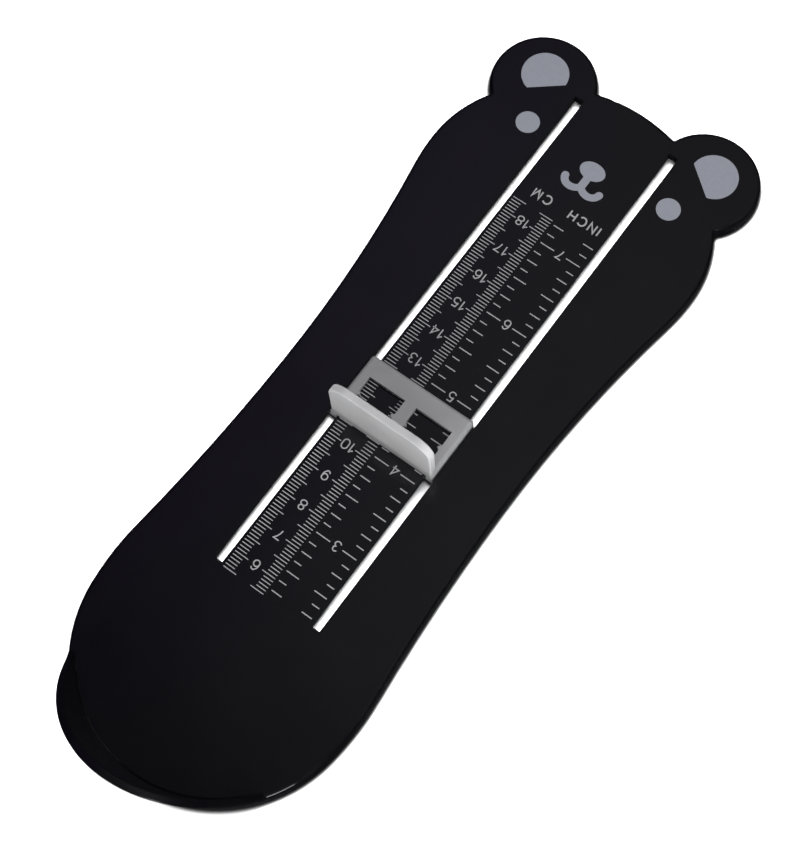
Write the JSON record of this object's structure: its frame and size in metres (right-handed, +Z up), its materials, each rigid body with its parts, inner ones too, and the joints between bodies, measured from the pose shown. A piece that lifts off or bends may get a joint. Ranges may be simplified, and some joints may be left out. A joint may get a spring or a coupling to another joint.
{
  "type": "foot measuring gauge",
  "caption": "Flat foot gauge in the outline of a bear's body, with a raised heel cup, two long slots and a windowed toe stop that slides along the printed scales.",
  "frame": {"origin": "under the middle of the whole, at the height of the table that the board lies on", "axes": "+Y from the heel to the toes, +Z up out of the board, +X to the right seen from above with the toes away; X = 0 is the plane of symmetry"},
  "size_m": [0.0862, 0.2404, 0.0278],
  "materials": {
    "board_plastic": "black, glossy, smooth on top",
    "stop_plastic": "light grey, milky, smooth"
  },
  "bodies": {
    "board": {"foot_board": "board_plastic"},
    "slider": {"toe_stop": "stop_plastic", "stop_keeper": "stop_plastic"}
  },
  "joints": [
    {"name": "toe_stop_slide", "type": "slide", "parent": "board", "child": "slider", "axis": [0, 1, 0], "range_m": [-0.0492, 0.0961]}
  ]
}
